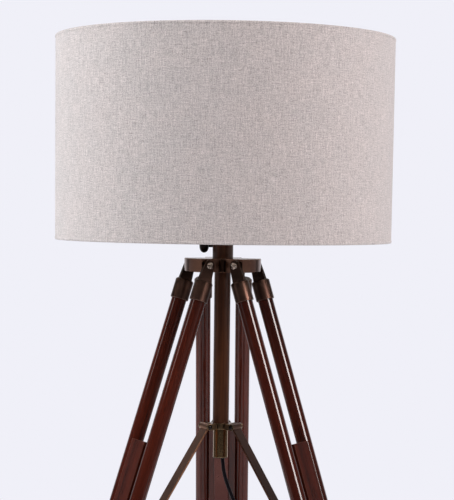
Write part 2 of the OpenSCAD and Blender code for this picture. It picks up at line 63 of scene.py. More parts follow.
CAMERA_DISTANCE = 2.27
CAMERA_HEIGHT = 1.227
CAMERA_SIDE = 0.00554
CAMERA_ORBIT = 1.02
CAMERA_PITCH = 1.564
CAMERA_ROLL = 0.736
CAMERA_LENS_MM = 120.7
CAMERA_SENSOR_MM = 36
CAMERA_SEES_TO = 60


def make_camera():
    """Long lens at the height of the lamp's head, turned a little about the lamp."""
    data = bpy.data.cameras.new("camera")
    data.lens = CAMERA_LENS_MM
    data.sensor_width = CAMERA_SENSOR_MM
    data.clip_end = CAMERA_SEES_TO
    camera = bpy.data.objects.new("camera", data)
    bpy.context.scene.collection.objects.link(camera)
    aim = turned(90 - CAMERA_PITCH, "X") @ turned(CAMERA_ROLL, "Z")
    place = Matrix.Translation((CAMERA_SIDE, -CAMERA_DISTANCE, CAMERA_HEIGHT))
    camera.matrix_world = turned(CAMERA_ORBIT, "Z") @ place @ aim
    bpy.context.scene.camera = camera


make_camera()

# ---- small helpers ----


def add_object(name, mesh, body=None, material=None, smooth=True):
    """Link a mesh as an object that rides on a body and takes a material."""
    obj = bpy.data.objects.new(name, mesh)
    bpy.context.scene.collection.objects.link(obj)
    if material is not None:
        mesh.materials.append(material)
    if smooth:
        for face in mesh.polygons:
            face.use_smooth = True
    if body is not None:
        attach(obj, body)
    return obj


def smoothstep(t):
    t = min(1.0, max(0.0, t))
    return t * t * (3 - 2 * t)


def mesh_from(name, verts, faces):
    mesh = bpy.data.meshes.new(name)
    mesh.from_pydata([tuple(v) for v in verts], [], faces)
    mesh.update()
    return mesh


def set_uvs(mesh, corners):
    """UV layer from each face's corners, given as (u, v) in metres along the cloth."""
    layer = mesh.uv_layers.new(name="lengths")
    layer.data.foreach_set("uv", [value for face in corners for corner in face for value in corner])


def circle_points(radius, count):
    return [(radius * math.cos(2 * math.pi * k / count), radius * math.sin(2 * math.pi * k / count))
            for k in range(count)]


def band_faces(i, n):
    """Faces between ring i and the next, of rings with n points each."""
    return [(i * n + k, i * n + (k + 1) % n, (i + 1) * n + (k + 1) % n, (i + 1) * n + k) for k in range(n)]


def end_faces(rings, n):
    """Caps of the first and the last ring."""
    return [tuple(reversed(range(n))), tuple((rings - 1) * n + k for k in range(n))]


def catmull_rom(points, steps):
    """Smooth line through the points, with so many steps between each two."""
    line = []
    last = len(points) - 1
    for i in range(last):
        a, b, c, d = (points[max(i - 1, 0)], points[i], points[i + 1], points[min(i + 2, last)])
        for k in range(steps):
            t = k / steps
            line.append(0.5 * (2 * b + t * (c - a) + t * t * (2 * a - 5 * b + 4 * c - d)
                               + t * t * t * (3 * b - a - 3 * c + d)))
    line.append(points[last])
    return line


def sweep(name, path, outline):
    """Mesh of a closed outline of (x, y) points carried along a path, capped at both ends."""
    verts, faces = [], []
    side = None
    rings = len(path)
    for i, point in enumerate(path):
        ahead = (path[min(i + 1, rings - 1)] - path[max(i - 1, 0)]).normalized()
        if side is None:
            side = ahead.orthogonal().normalized()
        side = (side - ahead * side.dot(ahead)).normalized()
        up = ahead.cross(side)
        verts += [point + side * x + up * y for x, y in outline]
    n = len(outline)
    for i in range(rings - 1):
        faces += band_faces(i, n)
    return mesh_from(name, verts, faces + end_faces(rings, n))


# ---- cord ----

CORD_D = 0.005
CORD_R = CORD_D / 2
# From inside the post's lower end, down between the legs, to the top turn of the coil
CORD_ROUTE_MM = [
    (2, 1, 912), (2, 1, 900), (2.5, 1.5, 888), (3.5, 2, 876), (5, 3, 864), (8, 4.5, 852), (12, 6.5, 840),
    (17, 9.5, 827), (22, 12.5, 813), (27, 15.5, 797), (31, 18, 778), (34, 20, 755), (36, 21, 725),
    (37, 22, 690), (37, 22, 640), (36, 22, 580), (34, 21, 510), (31, 20, 440), (28, 18, 370),
    (24, 16, 300), (20, 13, 235), (16, 10, 180), (13, 6, 135), (11, 1, 100), (9, -5, 72),
    (5, -12, 48), (-2, -18, 31), (-11, -21, 21.5), (-20, -20, 17.8),
]
COIL_CENTRE_MM = (-14, 6)
ROUTE_STEPS = 5
# The turns of the coil in the order they are wound, clockwise from above: each row gives the angle
# in degrees, and the radius and the height in millimetres that the cord has there.
INNER, MIDDLE, OUTER = 21.9, 27, 32.1
LOW, MID, HIGH, TOP = 2.55, 7.65, 12.75, 17.85
COIL_STEP = 12
COIL_KEYS = [
    (257, MIDDLE, TOP), (200, MIDDLE, TOP), (150, INNER, TOP), (100, INNER, HIGH),
    (-110, INNER, HIGH), (-155, MIDDLE, HIGH), (-425, MIDDLE, HIGH), (-470, OUTER, HIGH),
    (-740, OUTER, HIGH), (-785, OUTER, MID), (-1055, OUTER, MID), (-1100, MIDDLE, MID),
    (-1370, MIDDLE, MID), (-1415, INNER, MID), (-1685, INNER, MID), (-1730, INNER, LOW),
    (-2000, INNER, LOW), (-2045, MIDDLE, LOW), (-2315, MIDDLE, LOW), (-2360, OUTER, LOW),
    (-2484, OUTER, LOW),
]
PLUG_START_MM = (23.4, -1, 7)
LEAD_OUT_MM = [(18.2, 15, 2.9), (20.6, 8.5, 4.2), (22.4, 3.2, 6.1), PLUG_START_MM, (23.5, -5, 7.05)]
LEAD_OUT_STEPS = 4
CORD_SIDES = 14


def coil_points():
    """Points of the coil every few degrees along its turns, eased between the rows above."""
    points = []
    for (a0, r0, z0), (a1, r1, z1) in zip(COIL_KEYS, COIL_KEYS[1:]):
        steps = max(1, round((a0 - a1) / COIL_STEP))
        for k in range(steps):
            t = k / steps
            e = smoothstep(t)
            angle = math.radians(a0 + (a1 - a0) * t)
            r = r0 + (r1 - r0) * e
            points.append(Vector((COIL_CENTRE_MM[0] + r * math.cos(angle),
                                  COIL_CENTRE_MM[1] + r * math.sin(angle),
                                  z0 + (z1 - z0) * e)))
    return points


def cord_path():
    """Middle line of the cord: out of the post, down to its coil, and from the coil to the plug."""
    route = [Vector(p) for p in CORD_ROUTE_MM]
    start = catmull_rom(route, ROUTE_STEPS)[:-1]
    coil = coil_points()
    lead_out = [coil[-1]] + [Vector(p) for p in LEAD_OUT_MM]
    end = catmull_rom(lead_out, LEAD_OUT_STEPS)[1:]
    return [p * MM for p in start + coil + end]


# ---- materials ----

# Cosine between the rounded and the flat normal, where an edge begins and where it is full
EDGE_STARTS = 0.985
EDGE_FULL = 0.86
BEVEL_SAMPLES = 6


class Graph:
    """A new material, and short names for the nodes that every material here is made of."""

    def __init__(self, name):
        self.mat = bpy.data.materials.new(name)
        self.mat.use_nodes = True
        self.tree = self.mat.node_tree
        self.tree.nodes.clear()
        out = self.add("ShaderNodeOutputMaterial")
        self.shader = self.add("ShaderNodeBsdfPrincipled")
        self.link(self.shader.outputs["BSDF"], out.inputs["Surface"])

    def add(self, kind, **props):
        node = self.tree.nodes.new(kind)
        for key, value in props.items():
            setattr(node, key, value)
        return node

    def link(self, source, target):
        self.tree.links.new(source, target)

    def set(self, **values):
        for key, value in values.items():
            self.shader.inputs[key.replace("_", " ")].default_value = value

    def coords(self, kind="Object", scale=(1, 1, 1), rotation=(0, 0, 0)):
        """Place on the surface in a turned frame; a scale below one draws a pattern out that way."""
        source = self.add("ShaderNodeTexCoord").outputs[kind]
        mapping = self.add("ShaderNodeMapping")
        mapping.vector_type = "TEXTURE" if rotation != (0, 0, 0) else "POINT"
        mapping.inputs["Rotation"].default_value = rotation
        self.link(source, mapping.inputs["Vector"])
        if rotation != (0, 0, 0):
            second = self.add("ShaderNodeMapping")
            self.link(mapping.outputs["Vector"], second.inputs["Vector"])
            mapping = second
        mapping.inputs["Scale"].default_value = scale
        return mapping.outputs["Vector"]

    def noise(self, vector, scale, detail, rough, distortion=0.0):
        node = self.add("ShaderNodeTexNoise")
        node.inputs["Scale"].default_value = scale
        node.inputs["Detail"].default_value = detail
        node.inputs["Roughness"].default_value = rough
        node.inputs["Distortion"].default_value = distortion
        self.link(vector, node.inputs["Vector"])
        return node.outputs["Fac"]

    def remap(self, value, low, high, to_low=0.0, to_high=1.0):
        node = self.add("ShaderNodeMapRange")
        node.inputs["From Min"].default_value = low
        node.inputs["From Max"].default_value = high
        node.inputs["To Min"].default_value = to_low
        node.inputs["To Max"].default_value = to_high
        self.link(value, node.inputs["Value"])
        return node.outputs["Result"]

    def math(self, operation, a, b):
        """Result of an operation on two values; each may be a socket or a number."""
        node = self.add("ShaderNodeMath", operation=operation)
        for socket, value in zip(node.inputs, (a, b)):
            if isinstance(value, (int, float)):
                socket.default_value = value
            else:
                self.link(value, socket)
        return node.outputs[0]

    def blend(self, a, a_share, b, b_share):
        """Weighted sum of two values."""
        return self.math("ADD", self.math("MULTIPLY", a, a_share), self.math("MULTIPLY", b, b_share))

    def mix(self, factor, a, b):
        """Colour between a and b, which may be sockets or tuples."""
        node = self.add("ShaderNodeMix", data_type="RGBA")
        self.link(factor, node.inputs[0])
        self.colour(node.inputs[6], a)
        self.colour(node.inputs[7], b)
        return node.outputs[2]

    def colour(self, socket, value):
        if isinstance(value, tuple):
            socket.default_value = (*value, 1)
        else:
            self.link(value, socket)

    def scaled(self, colour, value):
        """Colour multiplied by a grey value."""
        node = self.add("ShaderNodeMix", data_type="RGBA", blend_type="MULTIPLY")
        node.inputs[0].default_value = 1
        self.link(value, node.inputs[7])
        self.colour(node.inputs[6], colour)
        return node.outputs[2]

    def bump(self, height, strength, distance, normal=None):
        node = self.add("ShaderNodeBump")
        node.inputs["Strength"].default_value = strength
        node.inputs["Distance"].default_value = distance
        self.link(height, node.inputs["Height"])
        if normal is not None:
            self.link(normal, node.inputs["Normal"])
        return node.outputs["Normal"]

    def bevel(self, radius):
        node = self.add("ShaderNodeBevel", samples=BEVEL_SAMPLES)
        node.inputs["Radius"].default_value = radius
        return node.outputs["Normal"]

    def edge(self, radius):
        """One along sharp edges, zero on the faces between them."""
        soft = self.bevel(radius)
        flat = self.add("ShaderNodeNewGeometry").outputs["Normal"]
        dot = self.add("ShaderNodeVectorMath", operation="DOT_PRODUCT")
        self.link(soft, dot.inputs[0])
        self.link(flat, dot.inputs[1])
        return self.remap(dot.outputs["Value"], EDGE_STARTS, EDGE_FULL)

    def base(self, value):
        self.link(value, self.shader.inputs["Base Color"])

    def rough(self, value):
        self.link(value, self.shader.inputs["Roughness"])

    def normal(self, value):
        self.link(value, self.shader.inputs["Normal"])


WORN_BRIGHTNESS = 2.6
WORN_LIMIT = 0.9
WORN_EDGE = 0.001
# Darkening above a given height and how fast it sets in: painted shade under the head
PAINTED_SHADE_TONE = 0.42
PAINTED_SHADE_RISE = 0.014
PATINA_SPREAD = 0.28


def aged_metal(name, light, dark, rough, patina=0.8, wear=0.5, painted_shade_above=None):
    """Darkened brass or bronze: a mottled patina, fine scratches, brighter worn edges.

    A larger patina runs more softly from dark to light. Rough gives the roughness of the polished and
    of the dull spots. Above the given height the colour is darker, painted shade on the tabs under the
    head.
    """
    g = Graph(name)
    at = g.coords()
    blotch = g.noise(at, 24, 3, 0.5)
    speck = g.noise(at, 700, 2, 0.5)
    scratch = g.noise(at, 260, 4, 0.7)
    share = g.remap(g.blend(blotch, 0.75, speck, 0.25), 0.5 - patina * PATINA_SPREAD,
                    0.5 + patina * PATINA_SPREAD)
    worn = g.math("MULTIPLY", g.edge(WORN_EDGE), g.remap(blotch, 0.35, 0.6, 0.4 * wear, wear))
    bright = tuple(min(WORN_LIMIT, c * WORN_BRIGHTNESS) for c in light)
    colour = g.mix(worn, g.mix(share, dark, light), bright)
    # Painted shade: the colour darkens above the given height, on the tabs under the head
    if painted_shade_above is not None:
        split = g.add("ShaderNodeSeparateXYZ")
        g.link(at, split.inputs[0])
        depth = g.remap(split.outputs["Z"], painted_shade_above, painted_shade_above + PAINTED_SHADE_RISE, 1.0, PAINTED_SHADE_TONE)
        colour = g.scaled(colour, depth)
    g.base(colour)
    g.set(Metallic=1.0, Specular_IOR_Level=0.5)
    g.rough(g.remap(g.blend(blotch, 0.5, scratch, 0.5), 0.35, 0.65, rough[1], rough[0]))
    g.normal(g.bump(g.blend(speck, 0.5, scratch, 0.5), 0.16, 0.0001, g.bevel(0.0006)))
    return g.mat


def dark_lacquer(name, light, dark):
    """Brass tube browned and lacquered: long soft drawing streaks up Z under a satin film."""
    g = Graph(name)
    streak = g.noise(g.coords(scale=(1, 1, 0.03)), 300, 3, 0.6)
    blotch = g.noise(g.coords(scale=(1, 1, 0.3)), 40, 3, 0.55)
    g.base(g.mix(g.remap(g.blend(streak, 0.6, blotch, 0.4), 0.38, 0.62), dark, light))
    g.set(Metallic=0.3, Coat_Weight=0.2, Coat_Roughness=0.16, Specular_IOR_Level=0.2)
    g.rough(g.remap(blotch, 0.3, 0.7, 0.42, 0.30))
    g.normal(g.bump(streak, 0.12, 0.0001, g.bevel(0.0005)))
    return g.mat


WOOD_DARK = (0.020, 0.0030, 0.0014)
WOOD_LIGHT = (0.074, 0.0105, 0.0044)
# Lighter brown along the arrises: wear, and a painted highlight on the edges
WOOD_WORN_AND_HIGHLIGHT = (0.210, 0.085, 0.055)
# Brightness of the brown on each leg: painted light and shade for how brightly each leg is lit
WOOD_PAINTED_LIGHT = {"left": 0.98, "right": 0.88, "back": 1.38}
WOOD_COAT = {"left": 0.85, "right": 0.85, "back": 0.52}
WOOD_EDGE = 0.0013
WOOD_ROUND = 0.0012


def lacquered_wood(name, azimuth, tilt, painted_light_scale, coat):
    """Dark rosewood under lacquer, its grain running down the leg.

    The brown is scaled for each leg, painted light and shade for how brightly that leg is lit, and coat is
    how much of the lacquer's gloss is left.
    """
    g = Graph(name)
    turn = Matrix.Rotation(math.radians(azimuth), 3, "Z") @ Matrix.Rotation(math.radians(-tilt), 3, "Y")
    spin = tuple(turn.to_euler("XYZ"))
    figure = g.noise(g.coords(scale=(1, 1, 0.07), rotation=spin), 46, 4, 0.6, 0.6)
    grain = g.noise(g.coords(scale=(1, 1, 0.02), rotation=spin), 420, 4, 0.65)
    pores = g.noise(g.coords(scale=(1, 1, 0.035), rotation=spin), 1300, 2, 0.5)
    brown = g.mix(g.remap(g.blend(figure, 0.6, grain, 0.4), 0.34, 0.66),
                  tuple(c * painted_light_scale for c in WOOD_DARK), tuple(c * painted_light_scale for c in WOOD_LIGHT))
    brown = g.scaled(brown, g.remap(pores, 0.30, 0.46, 0.55, 1.0))
    # Lighter edges: wear, and a painted highlight along the arrises
    worn = g.math("MULTIPLY", g.edge(WOOD_EDGE), g.remap(figure, 0.35, 0.6, 0.3, 0.75))
    g.base(g.mix(worn, brown, WOOD_WORN_AND_HIGHLIGHT))
    g.set(Coat_Weight=coat, Coat_Roughness=0.08, Coat_IOR=1.5, Specular_IOR_Level=0.04)
    g.rough(g.remap(grain, 0.35, 0.65, 0.34, 0.50))
    g.normal(g.bump(g.blend(grain, 0.6, pores, 0.4), 0.14, 0.0002, g.bevel(WOOD_ROUND)))
    return g.mat


LINEN = (0.505, 0.448, 0.438)
LINEN_CLOUD_TINT = (1.01, 0.995, 0.990)
YARN_PITCH = 0.0011
# Noises that make the linen's tone: stretch along u and v, scale, detail, roughness and share.
# In order: yarns up the shade, yarns round it, slubs up, slubs round, and flecks.
LINEN_NOISES = [
    ((1, 0.10, 1), 900, 3, 0.6, 0.22),
    ((0.10, 1, 1), 900, 3, 0.6, 0.20),
    ((1, 0.05, 1), 520, 2, 0.5, 0.09),
    ((0.06, 1, 1), 520, 2, 0.5, 0.05),
    ((1, 1, 1), 640, 3, 0.75, 0.44),
]


def yarn_bands(g, direction):
    bands = g.add("ShaderNodeTexWave", wave_type="BANDS", bands_direction=direction)
    bands.inputs["Scale"].default_value = 1 / YARN_PITCH / math.pi
    bands.inputs["Distortion"].default_value = 0.6
    g.link(g.coords("UV"), bands.inputs["Vector"])
    return bands.outputs["Fac"]


def linen_cloth(name):
    """Plain-woven linen: uneven yarns both ways with slubs, from the sheet's own UV lengths in metres."""
    g = Graph(name)
    cloud = g.noise(g.coords("UV"), 26, 3, 0.6)
    weave = g.math("MULTIPLY", yarn_bands(g, "X"), yarn_bands(g, "Y"))
    tone = None
    for stretch, scale, detail, rough, share in LINEN_NOISES:
        part = g.math("MULTIPLY", g.noise(g.coords("UV", stretch), scale, detail, rough), share)
        tone = part if tone is None else g.math("ADD", tone, part)
    value = g.remap(tone, 0.38, 0.62, 0.48, 1.52)
    value = g.math("MULTIPLY", value, g.remap(cloud, 0.3, 0.7, 0.97, 1.03))
    value = g.math("MULTIPLY", value, g.remap(weave, 0.0, 1.0, 0.94, 1.03))
    tinted = tuple(c * k for c, k in zip(LINEN, LINEN_CLOUD_TINT))
    g.base(g.scaled(g.mix(g.remap(cloud, 0.35, 0.65), LINEN, tinted), value))
    g.set(Roughness=0.92, Specular_IOR_Level=0.15, Sheen_Weight=0.35, Sheen_Roughness=0.45)
    g.normal(g.bump(g.blend(weave, 0.5, tone, 0.9), 0.6, 0.0005))
    return g.mat


def plain(name, colour, rough, grain, bump, vary, coat=0.0, specular=0.5):
    """Moulded, painted or cast surface with a fine grain and a slightly uneven tone and gloss."""
    g = Graph(name)
    at = g.coords()
    coarse = g.noise(at, grain * 0.15, 3, 0.5)
    fine = g.noise(at, grain, 3, 0.6)
    g.base(g.scaled(colour, g.remap(coarse, 0.3, 0.7, 1 - vary, 1 + vary)))
    g.set(Coat_Weight=coat, Coat_Roughness=0.12, Specular_IOR_Level=specular)
    g.rough(g.remap(fine, 0.3, 0.7, rough * 0.85, min(1.0, rough * 1.15)))
    g.normal(g.bump(fine, bump, 0.0002, g.bevel(0.0004)))
    return g.mat


# Blender's wave texture turns through so many radians in each unit of length at scale one
WAVE_RATE = 20


def threaded(name, colour, pitch):
    """Bright metal with a rolled screw thread up Z."""
    g = Graph(name)
    wave = g.add("ShaderNodeTexWave", wave_type="BANDS", bands_direction="Z", wave_profile="SIN")
    wave.inputs["Scale"].default_value = 2 * math.pi / pitch / WAVE_RATE
    g.link(g.coords(), wave.inputs["Vector"])
    tarnish = g.noise(g.coords(), 160, 3, 0.6)
    g.base(g.scaled(colour, g.remap(tarnish, 0.3, 0.7, 0.8, 1.05)))
    g.set(Metallic=1.0)
    g.rough(g.remap(tarnish, 0.3, 0.7, 0.25, 0.4))
    g.normal(g.bump(wave.outputs["Fac"], 0.8, 0.0009))
    return g.mat


# Height above which the ferrules' tabs take painted shade under the head
TAB_FOOT_Z = 1.116
BULB_THREAD_PITCH = 0.0036
METALS = {
    "head_bronze": dict(light=(0.165, 0.086, 0.056), dark=(0.056, 0.026, 0.019), rough=(0.13, 0.22),
                        patina=0.9, wear=0.9),
    "ferrule_brass": dict(light=(0.128, 0.070, 0.051), dark=(0.060, 0.031, 0.024), rough=(0.30, 0.42),
                          patina=0.9, wear=0.8, painted_shade_above=TAB_FOOT_Z),
    "strut_brass": dict(light=(0.320, 0.160, 0.094), dark=(0.170, 0.082, 0.050), rough=(0.32, 0.48),
                        patina=0.9, wear=0.1),
    # Darker copies of the strut brass for the right and the back strut: painted shade
    "strut_painted_shade": dict(light=(0.150, 0.070, 0.044), dark=(0.080, 0.036, 0.024), rough=(0.32, 0.48),
                       patina=0.9, wear=0.1),
    "strut_shaded": dict(light=(0.110, 0.045, 0.038), dark=(0.080, 0.030, 0.026), rough=(0.26, 0.40)),
    "collar_bronze": dict(light=(0.190, 0.125, 0.070), dark=(0.110, 0.066, 0.036), rough=(0.24, 0.38)),
    "end_bronze": dict(light=(0.330, 0.215, 0.115), dark=(0.230, 0.140, 0.070), rough=(0.14, 0.24)),
    "bolt_steel": dict(light=(0.44, 0.34, 0.29), dark=(0.27, 0.20, 0.17), rough=(0.12, 0.20)),
    "knob_black": dict(light=(0.030, 0.024, 0.022), dark=(0.012, 0.009, 0.009), rough=(0.25, 0.40)),
    "lamp_brass": dict(light=(0.42, 0.27, 0.11), dark=(0.20, 0.12, 0.05), rough=(0.20, 0.34)),
    "pin_brass": dict(light=(0.60, 0.42, 0.18), dark=(0.45, 0.30, 0.12), rough=(0.18, 0.30)),
}
PLAINS = {
    "liner_white": dict(colour=(0.80, 0.79, 0.76), rough=0.55, grain=500, bump=0.05, vary=0.02),
    "wire_white": dict(colour=(0.78, 0.77, 0.74), rough=0.45, grain=700, bump=0.15, vary=0.05, coat=0.2),
    "glass_frosted": dict(colour=(0.86, 0.86, 0.84), rough=0.28, grain=900, bump=0.05, vary=0.02, coat=0.4),
    "rubber_black": dict(colour=(0.018, 0.017, 0.016), rough=0.62, grain=600, bump=0.3, vary=0.2),
    "cord_black": dict(colour=(0.006, 0.004, 0.006), rough=0.18, grain=900, bump=0.03, vary=0.1,
                       specular=0.05),
}
MATERIALS = {name: aged_metal(name, **look) for name, look in METALS.items()}
MATERIALS.update({name: plain(name, **look) for name, look in PLAINS.items()})
MATERIALS["post_bronze"] = dark_lacquer("post_bronze", (0.075, 0.0240, 0.0090), (0.036, 0.0105, 0.0042))
MATERIALS["cap_silver"] = threaded("cap_silver", (0.62, 0.62, 0.60), BULB_THREAD_PITCH)
MATERIALS["linen"] = linen_cloth("linen")
for leg, azimuth in LEG_AZIMUTH.items():
    key = "rosewood_" + leg
    MATERIALS[key] = lacquered_wood(key, azimuth, LEG_TILT, WOOD_PAINTED_LIGHT[leg], WOOD_COAT[leg])

# Nodes that look different from the rest of their slot; the right and back struts take darker copies of the
# strut brass, painted shade
OWN_LOOK = {"post_tube": "post_bronze", "post_end_tube": "end_bronze", "head_sleeve": "post_bronze",
            "hinge_bolts": "bolt_steel", "spreader_collar": "collar_bronze", "strut_back": "strut_shaded",
            "strut_right": "strut_painted_shade"}
SLOTS = {part["node"]: part["material_slot"] for part in frame["record"]["subparts"]}
for node_name, node in nodes.items():
    key = OWN_LOOK.get(node_name, SLOTS[node_name])
    if key == "rosewood":
        key = "rosewood_" + next(leg for leg in LEG_AZIMUTH if leg in node_name)
    for material_slot in node.material_slots:
        material_slot.material = MATERIALS[key]

# ---- the cord, its coil, its tie and its plug ----

path = cord_path()
cord = add_object("cord", sweep("cord", path, circle_points(CORD_R, CORD_SIDES)), "head",
                  MATERIALS["cord_black"])
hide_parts("cord_tube", "cord_coil")


def rounded_rectangle(width, height, radius, per_corner):
    """Outline of a rectangle with round corners, centred."""
    points = []
    for cx, cy, start in ((1, 1, 0), (-1, 1, 90), (-1, -1, 180), (1, -1, 270)):
        for k in range(per_corner + 1):
            a = math.radians(start + 90 * k / per_corner)
            points.append((cx * (width / 2 - radius) + radius * math.cos(a),
                           cy * (height / 2 - radius) + radius * math.sin(a)))
    return points


RELIEF_LEN = 0.022
RELIEF_RIBBED = 0.92
RELIEF_R = (0.0033, 0.0045)
RELIEF_RIBS = 6
RIB_OUT, RIB_IN = 0.00025, 0.00015
PLUG_LEN = 0.024
PLUG_NECK = (0.010, 0.009)
PLUG_SWELL = (0.012, 0.005)
PLUG_PINCH = 0.0014
PLUG_ROUNDING = 0.0008
# Places along the plug's body, as shares of its length
SWELL_END = 0.28
PINCH_AT, PINCH_REACH = 0.55, 0.16
ROUNDING_AT = 0.93
PLUG_SHARES = (0.0, 0.02, 0.06, 0.14, 0.28, 0.42, 0.56, 0.70, 0.84, 0.94, 0.99, 1.0)
# Radius of the plug's corners as a share of its thickness, and one that makes a square outline round
PLUG_CORNER = 0.33
ROUND_CORNER = 0.999
CORNER_STEPS = 6


def plug_rings():
    """Distance along the plug and outline there, from the end of the strain relief to the face."""
    rings = []
    steps = RELIEF_RIBS * 4
    for k in range(steps + 1):
        t = k / steps
        r = RELIEF_R[0] + (RELIEF_R[1] - RELIEF_R[0]) * t + (RIB_OUT if k % 4 in (1, 2) else -RIB_IN)
        outline = rounded_rectangle(2 * r, 2 * r, r * ROUND_CORNER, CORNER_STEPS)
        rings.append((t * RELIEF_LEN * RELIEF_RIBBED, outline))
    for t in PLUG_SHARES:
        ease = smoothstep(t / SWELL_END)
        pinch = PLUG_PINCH * math.exp(-((t - PINCH_AT) / PINCH_REACH) ** 2)
        end = PLUG_ROUNDING * smoothstep((t - ROUNDING_AT) / (1 - ROUNDING_AT))
        width = PLUG_NECK[0] + PLUG_SWELL[0] * ease - 2 * pinch - 2 * end
        height = PLUG_NECK[1] + PLUG_SWELL[1] * ease - 2 * end
        outline = rounded_rectangle(width, height, min(width, height) * PLUG_CORNER, CORNER_STEPS)
        rings.append((RELIEF_LEN + t * PLUG_LEN, outline))
    return rings


def plug_mesh():
    """Moulded plug: a ribbed strain relief that swells into a body with pinched finger grips."""
    rings = plug_rings()
    n = len(rings[0][1])
    verts = [(x, y, z) for x, outline in rings for y, z in outline]
    faces = []
    for i in range(len(rings) - 1):
        faces += band_faces(i, n)
    mesh = mesh_from("plug", verts, faces + end_faces(len(rings), n))
    mesh.transform(Matrix.Translation(Vector(PLUG_START_MM) * MM) @ turned(-90, "Z"))
    return mesh


plug = add_object("plug", plug_mesh(), "head", MATERIALS["rubber_black"])
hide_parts("plug_body")

TIE_SIZE = (0.0182, 0.0168)
TIE_CORNER = 0.0045
TIE_AZIMUTH = 75
TIE_HALF_W = 0.005
TIE_T = 0.0009
TIE_MIDDLE_Z = 0.0079
TIE_LOWEST = -0.0078


def tie_mesh():
    """Hook-and-loop strap wrapped once round the coil's bundle of turns."""
    outline = rounded_rectangle(*TIE_SIZE, TIE_CORNER, CORNER_STEPS)
    angle = math.radians(TIE_AZIMUTH)
    centre = Vector((*COIL_CENTRE_MM, 0)) * MM
    outward = Vector((math.cos(angle), math.sin(angle), 0))
    along = Vector((-math.sin(angle), math.cos(angle), 0))
    middle = centre + outward * (MIDDLE * MM) + Vector((0, 0, TIE_MIDDLE_Z))
    verts, faces = [], []
    for x, z in outline:
        spread = 1 + TIE_T / math.hypot(x, z)
        for side, grow in ((-1, 1), (1, 1), (1, spread), (-1, spread)):
            height = Vector((0, 0, max(z * grow, TIE_LOWEST)))
            verts.append(middle + outward * x * grow + height + along * side * TIE_HALF_W)
    n = len(outline)
    for i in range(n):
        j = (i + 1) % n
        for k in range(4):
            m = (k + 1) % 4
            faces.append((i * 4 + k, i * 4 + m, j * 4 + m, j * 4 + k))
    return mesh_from("cord_tie", verts, faces)


tie = add_object("cord_tie", tie_mesh(), "head", MATERIALS["rubber_black"])

# ---- shade ----

SHADE_TOP_R = 0.2285
SHADE_BOTTOM_R = 0.2265
SHADE_Z0 = 1.178
SHADE_Z1 = 1.450
CLOTH_T = 0.0006
# The hem's fold round a ring, in millimetres: distance outward from the wall, and up from the edge
HEM_FOLD_MM = [(-6.2, 9), (-6.2, 6), (-6.2, 2.2), (-5.7, 0.7), (-4.9, -0.05), (-3.6, -0.35), (-2.0, -0.4),
               (-0.8, -0.35), (-0.1, -0.1), (0.35, 0.3), (0.55, 1.0), (0.55, 2.0), (0.35, 2.9),
               (-0.15, 3.4), (-0.1, 3.9), (0, 5), (0, 7)]
HEM_H = 0.007
WALL_STEPS = 36
SHADE_COLUMNS = 288
WAVE_H = 0.0006
# The cloth's waves: how many round the shade, phase and turn by the top edge in radians, and share
SHADE_WAVES = [(3, 0.7, 0.0, 0.35), (7, 2.1, 1.5, 0.2), (17, 0.0, 4.0, 0.07), (31, 1.0, -3.0, 0.04)]


def wall_r(z):
    """Radius of the shade's wall at a height, between its two rings."""
    return SHADE_BOTTOM_R + (SHADE_TOP_R - SHADE_BOTTOM_R) * (z - SHADE_Z0) / (SHADE_Z1 - SHADE_Z0)


def shade_line():
    """Half section of the cloth: in round the lower ring, up the wall, and in round the top ring."""
    low = [(SHADE_BOTTOM_R + x * MM - CLOTH_T / 2, SHADE_Z0 + z * MM) for x, z in HEM_FOLD_MM]
    high = [(SHADE_TOP_R + x * MM - CLOTH_T / 2, SHADE_Z1 - z * MM) for x, z in reversed(HEM_FOLD_MM)]
    wall = []
    for k in range(1, WALL_STEPS):
        z = SHADE_Z0 + HEM_H + (SHADE_Z1 - SHADE_Z0 - 2 * HEM_H) * k / WALL_STEPS
        wall.append((wall_r(z) - CLOTH_T / 2, z))
    return low + wall + high


def offset_line(line, distance):
    """The line moved sideways, to the right of its way up."""
    shifted = []
    for i, (r, z) in enumerate(line):
        r0, z0 = line[max(i - 1, 0)]
        r1, z1 = line[min(i + 1, len(line) - 1)]
        length = math.hypot(r1 - r0, z1 - z0)
        shifted.append((r + (z1 - z0) / length * distance, z - (r1 - r0) / length * distance))
    return shifted


def shade_wave(angle, z):
    """The cloth's slight unevenness over its liner, in metres."""
    up = (z - SHADE_Z0) / (SHADE_Z1 - SHADE_Z0)
    return WAVE_H * sum(share * math.sin(count * angle + phase + turn * up)
                        for count, phase, turn, share in SHADE_WAVES)


def shade_mesh():
    """The cloth as a closed thin shell of revolution, with its lengths in metres as UVs."""
    line = shade_line()
    outer = offset_line(line, CLOTH_T / 2)
    inner = offset_line(line, -CLOTH_T / 2)
    ring = outer + list(reversed(inner))
    lengths = [0.0]
    for (r0, z0), (r1, z1) in zip(outer, outer[1:]):
        lengths.append(lengths[-1] + math.hypot(r1 - r0, z1 - z0))
    lengths = lengths + list(reversed(lengths))
    columns, n = SHADE_COLUMNS, len(ring)
    mean_r = (SHADE_TOP_R + SHADE_BOTTOM_R) / 2
    verts, faces, uvs = [], [], []
    for c in range(columns):
        angle = 2 * math.pi * c / columns + math.pi / 2
        for r, z in ring:
            rr = r + shade_wave(angle, z)
            verts.append((rr * math.cos(angle), rr * math.sin(angle), z))
    for c in range(columns):
        d = (c + 1) % columns
        u0, u1 = 2 * math.pi * c / columns * mean_r, 2 * math.pi * (c + 1) / columns * mean_r
        for k in range(n):
            m = (k + 1) % n
            faces.append((c * n + k, d * n + k, d * n + m, c * n + m))
            uvs.append(((u0, lengths[k]), (u1, lengths[k]), (u1, lengths[m]), (u0, lengths[m])))
    mesh = mesh_from("shade_cloth", verts, faces)
    set_uvs(mesh, uvs)
    return mesh


